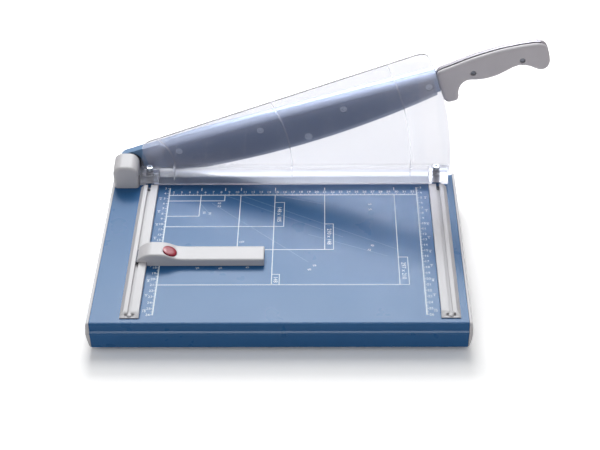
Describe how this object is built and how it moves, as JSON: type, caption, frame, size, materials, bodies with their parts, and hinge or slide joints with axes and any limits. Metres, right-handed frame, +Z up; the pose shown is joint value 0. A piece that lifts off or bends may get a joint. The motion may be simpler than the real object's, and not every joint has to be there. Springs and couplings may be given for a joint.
{
  "type": "guillotine paper cutter",
  "caption": "Desk paper cutter: a hinged lever blade with a shaped handle, a clear blade guard that clamps the sheet, a folded steel table, side rails and a sliding backstop.",
  "frame": {"origin": "middle of the bounding box's bottom, on the desk under the feet", "axes": "+X along the cutting edge from the pivot towards the handle, +Y from the user towards the blade, +Z up"},
  "size_m": [0.5416, 0.2996, 0.2313],
  "materials": {
    "blue_paint": "satin blue powder coat",
    "grey_plastic": "light grey, fine grained",
    "handle_plastic": "warm grey, satin",
    "blade_steel": "ground blade steel",
    "bright_steel": "bright zinc plated",
    "dark_steel": "blackened steel",
    "clear_plastic": "clear, moulded and polished",
    "red_plastic": "glossy red",
    "black_rubber": "matt black"
  },
  "bodies": {
    "base": {"table_top": "blue_paint", "left_end_cap": "grey_plastic", "right_end_cap": "grey_plastic", "pivot_cover": "grey_plastic", "left_rail": "grey_plastic", "right_rail": "grey_plastic", "lower_blade": "blade_steel", "lower_blade_screw_1": "bright_steel", "lower_blade_screw_2": "bright_steel", "lower_blade_screw_3": "bright_steel", "lower_blade_screw_4": "bright_steel", "bracket_screw_1": "bright_steel", "bracket_screw_2": "bright_steel", "pivot_bolt": "bright_steel", "pivot_washer": "bright_steel", "pivot_nut": "bright_steel", "guide_nut_left": "bright_steel", "guide_nut_right": "bright_steel", "pivot_bracket": "dark_steel", "pivot_spring_washer": "dark_steel", "guide_bolt_left": "dark_steel", "guide_bolt_right": "dark_steel", "clamp_spring_left": "dark_steel", "clamp_spring_right": "dark_steel", "rail_screw_left_back": "dark_steel", "rail_screw_left_front": "dark_steel", "rail_screw_right_back": "dark_steel", "rail_screw_right_front": "dark_steel", "foot_back_left": "black_rubber", "foot_front_left": "black_rubber", "foot_back_right": "black_rubber", "foot_front_right": "black_rubber"},
    "lever": {"blade_arm": "blue_paint", "upper_blade": "blade_steel", "blade_screw_1": "bright_steel", "blade_screw_2": "bright_steel", "blade_screw_3": "bright_steel", "blade_screw_4": "bright_steel", "handle_front": "handle_plastic", "handle_rear": "handle_plastic", "handle_screw_1": "dark_steel", "handle_screw_2": "dark_steel", "handle_nut_1": "bright_steel", "handle_nut_2": "bright_steel"},
    "clamp": {"clamp_guard": "clear_plastic"},
    "backstop": {"backstop": "grey_plastic", "slide_shoe": "dark_steel", "button_spring": "bright_steel"},
    "button": {"release_button": "red_plastic"}
  },
  "joints": [
    {"name": "lever_swing", "type": "hinge", "parent": "base", "child": "lever", "pos_m": [-0.24677, 0.13415, 0.0578], "axis": [0, -1, 0], "range_deg": [-18.3, 4.2]},
    {"name": "clamp_press", "type": "slide", "parent": "base", "child": "clamp", "axis": [0, 0, 1], "range_m": [-0.0043, 0], "stiffness_N_per_m": 1500, "springref_m": 0.003, "deforming": ["clamp_spring_left", "clamp_spring_right"]},
    {"name": "backstop_slide", "type": "slide", "parent": "base", "child": "backstop", "axis": [0, 1, 0], "range_m": [-0.0828, 0.1166]},
    {"name": "button_press", "type": "slide", "parent": "backstop", "child": "button", "axis": [0, 0, 1], "range_m": [-0.002, 0], "stiffness_N_per_m": 800, "springref_m": 0.001, "deforming": ["button_spring"]}
  ]
}
